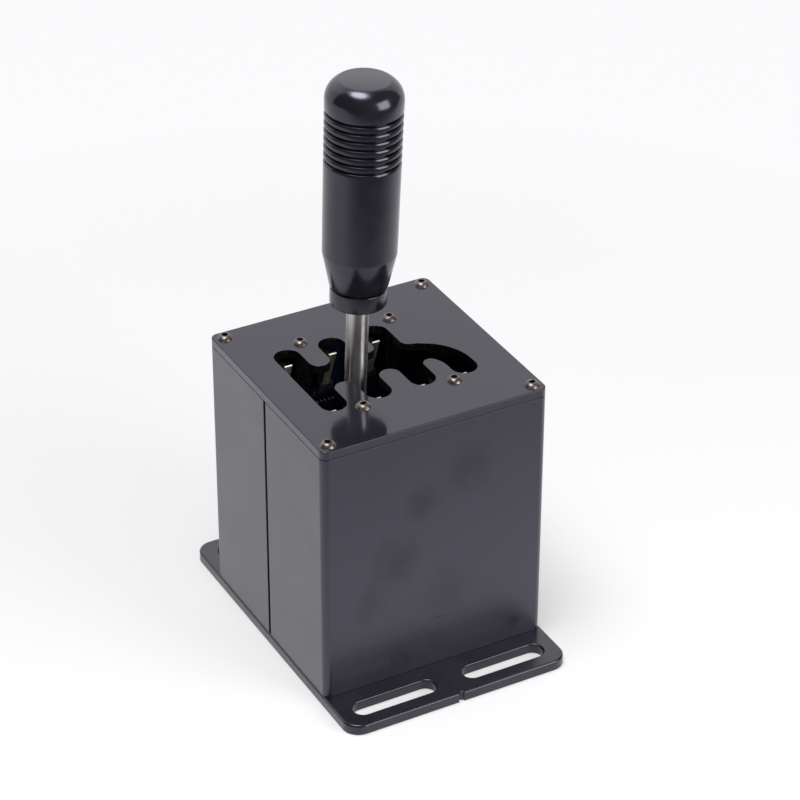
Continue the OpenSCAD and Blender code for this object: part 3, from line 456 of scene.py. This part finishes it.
# Switches. Seven moulded brown bodies soldered to the boards at the slot ends, each with a hinged
# sprung strip whose curled tip meets the lever, and a red plunger that the strip presses.
gears = ("1", "2", "3", "4", "5", "6", "reverse")
strip_w = 3.8
strip_t = 0.4
strip_tip = 7.4
strip_rise = 19.4
curl_r = 0.3
hinge_pin_r = 0.5
hinge_pin_half = 3.0
plunger_reach = 3.4
upright = np.array([0.0, 0.0, 1.0])
sideways = np.array([1.0, 0.0, 0.0])


def carried(path, side, u, v):
    """Section points u, v carried along a path: path + u side + v (tangent x side), one row a point."""
    tangent = np.gradient(path, axis=0)
    tangent /= np.linalg.norm(tangent, axis=1, keepdims=True)
    rise = np.cross(tangent, side)
    return path[:, None] + u[..., None] * side + v[..., None] * rise[:, None]


def strip(hinge, inward):
    """Chamfered rectangle carried straight up from the hinge, leaning inwards, then over an arc of
    150 degrees that curls back: centre + r (sin t along - cos t out)."""
    length = math.hypot(strip_tip, strip_rise)
    along = (strip_tip * inward + strip_rise * upright) / length
    out = (strip_tip * upright - strip_rise * inward) / length
    turn = np.radians(np.linspace(0, 150, 14))[:, None]
    straight = hinge + np.linspace(-0.04, 1, 10)[:-1, None] * length * along
    curl = hinge + length * along + curl_r * (out + np.sin(turn) * along - np.cos(turn) * out)
    corner = 0.12
    u = np.array([1, 1, 1, -1, -1, -1, -1, 1]) * strip_w / 2 - np.array([0, 0, 1, -1, 0, 0, -1, 1]) * corner
    v = np.array([-1, 1, 1, 1, 1, -1, -1, -1]) * strip_t / 2 - np.array([-1, 1, 0, 0, 1, -1, 0, 0]) * corner
    return carried(np.vstack([straight, curl]), sideways, u[None], v[None])


def pin(start, along, side, radii, places):
    """Round pin: a circle of each row's radius at each row's place along a straight line."""
    angle = np.linspace(0, 2 * np.pi, 24, endpoint=False)[None]
    r = np.array(radii, float)[:, None]
    path = start + np.array(places, float)[:, None] * along
    return carried(path, side, r * np.cos(angle), r * np.sin(angle))


brown = finish("moulded_brown", (0.05, 0.028, 0.018), roughness=0.42)
tones(brown, noise(brown, 500), (0.038, 0.021, 0.013), (0.064, 0.037, 0.024))
drive(brown, "Roughness", spread(brown, noise(brown, 1400), 0.34, 0.52))
relief(brown, noise(brown, 2000, 2), 8e-6)
leaf_strip = finish("sprung_strip", (0.8, 0.75, 0.68), 1.0, 0.4)
tones(leaf_strip, noise(leaf_strip, 300, 3, (1, 1, 0.1)), (0.74, 0.68, 0.6), (0.86, 0.81, 0.75))
drive(leaf_strip, "Roughness", spread(leaf_strip, noise(leaf_strip, 1500, 3, (1, 1, 0.05)), 0.34, 0.46))
plunger_red = finish("moulded_red", (0.7, 0.03, 0.025), roughness=0.3)
tones(plunger_red, noise(plunger_red, 900), (0.62, 0.022, 0.018), (0.78, 0.04, 0.03))
drive(plunger_red, "Roughness", spread(plunger_red, noise(plunger_red, 2000), 0.24, 0.38))
dress(brown, *("switch_body_" + gear for gear in gears))
for gear in gears:
    low, high = (np.array(corner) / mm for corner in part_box("switch_leaf_" + gear))
    inward = np.array([0.0, -1.0 if low[1] > 0 else 1.0, 0.0])
    outer_y = high[1] if low[1] > 0 else low[1]
    hinge = np.array([(low[0] + high[0]) / 2, outer_y + inward[1] * hinge_pin_r, low[2] + hinge_pin_r])
    ends = (-hinge_pin_half, 0.1 - hinge_pin_half, hinge_pin_half - 0.1, hinge_pin_half)
    axle = pin(hinge, sideways, upright, hinge_pin_r - np.array([0.1, 0, 0, 0.1]), ends)
    name = "sprung_leaf_" + gear
    halves = [mesh_from_rows(name, strip(hinge, inward)), mesh_from_rows(name, axle)]
    finish_of = np.repeat((0, 1), [len(half.polygons) for half in halves])
    leaf = piece(name, joined(name, halves), leaf_strip, "leaf_steel", "leaf_" + gear, "switch_leaf_" + gear)
    leaf.data.materials.append(oxide)
    leaf.data.polygons.foreach_set("material_index", finish_of)
    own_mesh(leaf)
    low, high = (np.array(corner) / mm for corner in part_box("switch_plunger_" + gear))
    root = (low + high) / 2
    root[1] = high[1] if inward[1] < 0 else low[1]
    plunger_r = (high[2] - low[2]) / 2
    shown = high[1] - low[1] + plunger_reach
    radii = plunger_r * np.array([0.9, 1, 1, 0.96, 0.86, 0.64, 0.3])
    places = shown - np.array([shown, shown - 0.1, 1, 0.7, 0.4, 0.15, 0])
    name = "red_plunger_" + gear
    mesh = mesh_from_rows(name, pin(root, inward, sideways, radii, places))
    plunger = piece(name, mesh, plunger_red, "plunger_red", "plunger_" + gear, "switch_plunger_" + gear)
    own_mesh(plunger)


# Lever rod. Ground 10 mm steel bar, set in the hub below and in the knob above; it leans a little
# to the right at rest.
shift = next(joint for joint in frame["joints"] if joint["name"] == "shift")
pivot = np.array(shift["pos_m"]) / mm
across = np.array(shift["axis"], float)
forward = np.array([0.0, 1.0, 0.0])
upward = np.cross(across, forward)
sides = 192
rod_r = 5.0
rod_foot = 6.0
rod_top = 178.1
rod_edge = 0.4


def turned(r, h):
    """Surface of revolution on the lever: pivot + r (cos a across + sin a forward) + h upward."""
    r, h = np.asarray(r, float)[:, None, None], np.asarray(h, float)[:, None, None]
    angle = np.linspace(0, 2 * np.pi, sides, endpoint=False)[None, :, None]
    return pivot + r * (np.cos(angle) * across + np.sin(angle) * forward) + h * upward


brushed = finish("brushed_steel_bar", (0.68, 0.66, 0.63), 1.0, 0.3, Anisotropic=0.85,
                 Anisotropic_Rotation=0.25)
grain = noise(brushed, 300, 3)
tones(brushed, grain, (0.65, 0.63, 0.6), (0.71, 0.69, 0.66), 0.3, 0.7)
drive(brushed, "Roughness", spread(brushed, grain, 0.28, 0.33, 0.3, 0.7))
relief(brushed, noise(brushed, 1800, 2), 0.6e-6)
rod = turned([rod_r - rod_edge, rod_r, rod_r, rod_r - rod_edge],
             [rod_foot, rod_foot + rod_edge, rod_top - rod_edge, rod_top])
piece("lever_rod_ground", mesh_from_rows("lever_rod_ground", rod), brushed, "ground_steel", "lever",
      "lever_rod")


# Knob collar. Turned aluminium ring, black anodised, that closes the knob's underside; a shadow
# line parts it from the knob.
collar_z = 133.3
collar_h = 8.0
collar_r = 12.6
bore_r = 5.02


def bend(centre, radius, start, end, count=8):
    """Points on an arc in the section plane, from one angle in degrees to another."""
    angle = np.radians(np.linspace(start, end, count))
    return np.stack([centre[0] + radius * np.cos(angle), centre[1] + radius * np.sin(angle)], -1)


anodised = finish("black_anodised", (0.008, 0.008, 0.011), roughness=0.17, IOR=1.6,
                  Specular_Tint=black_sheen)
tones(anodised, noise(anodised, 120, 4), (0.006, 0.006, 0.0085), (0.011, 0.0105, 0.014))
drive(anodised, "Roughness", spread(anodised, noise(anodised, 60, 5), 0.13, 0.21))
relief(anodised, noise(anodised, 700, 2, (1, 1, 7)), 1.0e-6)
ring_edge = 0.6
ring = np.vstack([
    [[bore_r, collar_h], [bore_r, 0]],
    bend((collar_r - ring_edge, ring_edge), ring_edge, -90, 0),
    bend((collar_r - ring_edge, collar_h - ring_edge), ring_edge, 0, 90),
])
collar = turned(ring[:, 0], collar_z + ring[:, 1])
piece("knob_collar_turned", mesh_from_rows("knob_collar_turned", collar, loop=True), anodised,
      "knob_black", "lever", "knob_collar")


# Knob. One long piece of turned aluminium, black anodised: a cone, a slightly tapered side with
# seven grip grooves with rounded lips, a round shoulder and a flat top.
knob_z = 142.1
knob_l = 97.4
neck_r = 13.0
cone_h = 17.0
low_r = 16.4
top_r = 17.0
flat_r = 11.2
shoulder_h = 8.9
spigot_r = 11.0
spigot_h = 0.8
neck_edge = 0.5
cone_blend = 6
bore_l = 37.0
groove_count = 7
groove_pitch = 3.7
groove_half = 0.75
groove_depth = 1.5
crown_r = 2.4
crown_turn = 32.0
lip = 0.3
lower_lip = 0.12
first_groove = 14.0


def groove(depth_from_top):
    """Section of one groove: the crowned land below it, over an arc that leans in and a small lip,
    then the square floor and the small lip of the land above."""
    z = knob_l - depth_from_top
    wall = low_r + (top_r - low_r) * (z - cone_h) / (knob_l - shoulder_h - cone_h)
    turn = math.radians(crown_turn)
    lip_r = wall - (crown_r - lip) * (1 - math.cos(turn)) - lip
    lip_z = z - groove_half - lip
    crown = (lip_r - (crown_r - lip) * math.cos(turn), lip_z - (crown_r - lip) * math.sin(turn))
    floor = [[wall - groove_depth, z - groove_half], [wall - groove_depth, z + groove_half]]
    return np.vstack([
        bend(crown, crown_r, 0, crown_turn, 12)[:-1],
        bend((lip_r, lip_z), lip, crown_turn, 90, 6),
        floor,
        bend((wall - lower_lip, z + groove_half + lower_lip), lower_lip, -90, 0, 4),
    ])


set_in = top_r - flat_r
shoulder_r = (shoulder_h ** 2 + set_in ** 2) / (2 * set_in)
crest = math.degrees(math.asin(shoulder_h / shoulder_r))
grooves = [groove(first_groove + k * groove_pitch) for k in reversed(range(groove_count))]
section = np.vstack([
    [[bore_r, bore_l], [bore_r, -spigot_h], [spigot_r, -spigot_h], [spigot_r, 0]],
    bend((neck_r - neck_edge, neck_edge), neck_edge, -90, -12),
    bend((low_r - cone_blend, cone_h), cone_blend, -9, 0.3, 5),
    *grooves,
    bend((top_r - shoulder_r, knob_l - shoulder_h), shoulder_r, 0, crest - 1.2, 40),
    [[flat_r - 0.25, knob_l], [0.5, knob_l]],
])
knob = turned(section[:, 0], knob_z + section[:, 1])
piece("knob_grip_turned", mesh_from_rows("knob_grip_turned", knob), anodised, "knob_black", "lever",
      "knob_grip")


# Studio. Pale floor in a white surround, dark cloth round the front and sides that only the gloss shows,
# as painted dark reflections, a lit panel behind, a softbox overhead, one at the front right, and a long
# lens.
def seen(tree):
    """1 for the rays that show a background as it is: straight to the camera, off gloss or through."""
    rays = tree.nodes.new("ShaderNodeLightPath")
    shown = rays.outputs["Is Camera Ray"]
    for kind in ("Is Glossy Ray", "Is Transmission Ray"):
        either = tree.nodes.new("ShaderNodeMath")
        either.operation = "MAXIMUM"
        tree.links.new(shown, either.inputs[0])
        tree.links.new(rays.outputs[kind], either.inputs[1])
        shown = either.outputs["Value"]
    return shown


def level(tree, source, low, high):
    """Value that is low where the source is 0 and high where it is 1."""
    node = tree.nodes.new("ShaderNodeMapRange")
    node.inputs["To Min"].default_value = low
    node.inputs["To Max"].default_value = high
    tree.links.new(source, node.inputs["Value"])
    return node.outputs["Result"]


def staged(name, points, material):
    """Stage surface on a grid of points, each cell one face."""
    rows, columns = points.shape[:2]
    index = np.arange(rows * columns).reshape(rows, columns)
    faces = np.stack([index[:-1, :-1], index[:-1, 1:], index[1:, 1:], index[1:, :-1]], -1).reshape(-1, 4)
    mesh = bpy.data.meshes.new(name)
    mesh.from_pydata(points.reshape(-1, 3), [], faces.tolist())
    mesh.materials.append(material)
    made = bpy.data.objects.new(name, mesh)
    bpy.context.scene.collection.objects.link(made)
    return made


def flat(x_low, x_high, y_low, y_high, z):
    """Level rectangle as a grid of four points."""
    x, y = np.meshgrid([x_low, x_high], [y_low, y_high])
    return np.stack([x, y, z + 0 * x], -1)


paper = finish("pale_floor", (0.88, 0.88, 0.89), roughness=0.9, Specular_IOR_Level=0.0)
tones(paper, noise(paper, 3), (0.875, 0.875, 0.885), (0.89, 0.89, 0.895))
paper_tree = paper.node_tree
white = paper_tree.nodes.new("ShaderNodeEmission")
white.inputs["Color"].default_value = (0.97, 0.962, 0.98, 1)
blend = paper_tree.nodes.new("ShaderNodeMixShader")
floor_place = paper_tree.nodes.new("ShaderNodeTexCoord")
away = paper_tree.nodes.new("ShaderNodeVectorMath")
away.operation = "LENGTH"
share = paper_tree.nodes.new("ShaderNodeMath")
share.operation = "MULTIPLY"
paper_tree.links.new(floor_place.outputs["Object"], away.inputs[0])
paper_tree.links.new(spread(paper, away.outputs["Value"], 0.35, 0.97, 0.1, 0.5), share.inputs[0])
paper_tree.links.new(seen(paper_tree), share.inputs[1])
paper_tree.links.new(share.outputs["Value"], blend.inputs[0])
paper_tree.links.new(paper_tree.nodes["Principled BSDF"].outputs[0], blend.inputs[1])
paper_tree.links.new(white.outputs[0], blend.inputs[2])
paper_tree.links.new(blend.outputs[0], paper_tree.nodes["Material Output"].inputs["Surface"])
staged("floor", flat(-4, 4, -4, 4, -0.0002), paper)


def cloth(name):
    """Dark cloth with a faint glow of its own, painted light that stands in for the little light on it."""
    material = finish(name, (0.03, 0.03, 0.035), roughness=1.0, Emission_Strength=0.12,
                      Emission_Color=(1, 1, 1.05, 1), Specular_IOR_Level=0.0)
    tones(material, noise(material, 6), (0.025, 0.025, 0.03), (0.04, 0.04, 0.045))
    return material


# The fading sheet lies on the floor in front and only the gloss shows it: painted shade on the floor's
# reflection, dark farther out in front and clear near the object.
shade_fade = cloth("painted_shade_fading_cloth")
cloth_tree = shade_fade.node_tree
place = cloth_tree.nodes.new("ShaderNodeTexCoord")
parts = cloth_tree.nodes.new("ShaderNodeSeparateXYZ")
cloth_tree.links.new(place.outputs["Object"], parts.inputs[0])
fade = cloth_tree.nodes.new("ShaderNodeMixShader")
cloth_tree.links.new(spread(shade_fade, parts.outputs["Y"], 1, 0, -0.45, -0.1), fade.inputs[0])
cloth_tree.links.new(cloth_tree.nodes.new("ShaderNodeBsdfTransparent").outputs[0], fade.inputs[1])
cloth_tree.links.new(cloth_tree.nodes["Principled BSDF"].outputs[0], fade.inputs[2])
cloth_tree.links.new(fade.outputs[0], cloth_tree.nodes["Material Output"].inputs["Surface"])
round_front = np.radians(np.linspace(-125, 95, 56))[None]
height = np.radians(np.linspace(0, 84, 22))[:, None]
curtain_r = 2.8
curtain = curtain_r * np.stack([np.sin(round_front) * np.cos(height), -np.cos(round_front) * np.cos(height),
                                np.sin(height) + 0 * round_front], -1)
painted_shade_sheet = flat(-curtain_r, curtain_r, -curtain_r, -0.1, 0.0004)
for name, points, material in (("painted_dark_reflection_curtain", curtain, cloth("painted_dark_reflection_cloth")), ("painted_shade_floor_sheet", painted_shade_sheet, shade_fade)):
    hung = staged(name, points, material)
    hung.visible_camera = hung.visible_diffuse = hung.visible_transmission = hung.visible_shadow = False

world = bpy.data.worlds.new("white_surround")
world.use_nodes = True
bpy.context.scene.world = world
sky = world.node_tree
sky.links.new(level(sky, seen(sky), 0.25, 1.0), sky.nodes["Background"].inputs["Strength"])
sky.nodes["Background"].inputs["Color"].default_value = (1, 1, 1, 1)


def softbox(name, shape, towards, distance, width, height, power):
    """Area lamp that far from the middle of the knob in that direction, facing it."""
    aim = Vector((-0.008, 0, 0.2))
    lamp = bpy.data.lights.new(name, "AREA")
    lamp.shape = shape
    lamp.size, lamp.size_y, lamp.energy = width, height, power
    box = bpy.data.objects.new(name, lamp)
    direction = Vector(towards).normalized()
    facing = direction.to_track_quat("Z", "Y").to_matrix().to_4x4()
    box.matrix_world = Matrix.Translation(aim + distance * direction) @ facing
    box.visible_camera = False
    bpy.context.scene.collection.objects.link(box)


softbox("overhead_core", "ELLIPSE", (-0.21, -0.08, 0.97), 1.1, 0.64, 0.5, 8.5)
softbox("overhead_halo", "ELLIPSE", (-0.21, -0.08, 0.97), 1.12, 0.95, 0.75, 4)
softbox("softbox_front_right", "RECTANGLE", (0.48, -0.83, 0.29), 1.2, 0.7, 0.7, 9)
softbox("lit_panel", "RECTANGLE", (0.1, 0.76, 0.64), 2.0, 3.0, 1.4, 4)

lens = bpy.data.cameras.new("camera")
lens.sensor_width = 36
lens.lens = 136.156
lens.clip_end = 20
camera = bpy.data.objects.new("camera", lens)
look = Vector((0.40617, 0.74058, -0.53532)).normalized()
head_up = Vector((0.2549, 0.47074, 0.84465))
head_up = (head_up - head_up.dot(look) * look).normalized()
rightward = look.cross(head_up)
camera.matrix_world = Matrix((
    (rightward.x, head_up.x, -look.x, -0.53785),
    (rightward.y, head_up.y, -look.y, -1.0024),
    (rightward.z, head_up.z, -look.z, 0.83565),
    (0, 0, 0, 1),
))
bpy.context.scene.collection.objects.link(camera)
bpy.context.scene.camera = camera
bpy.context.scene.view_settings.view_transform = "Standard"
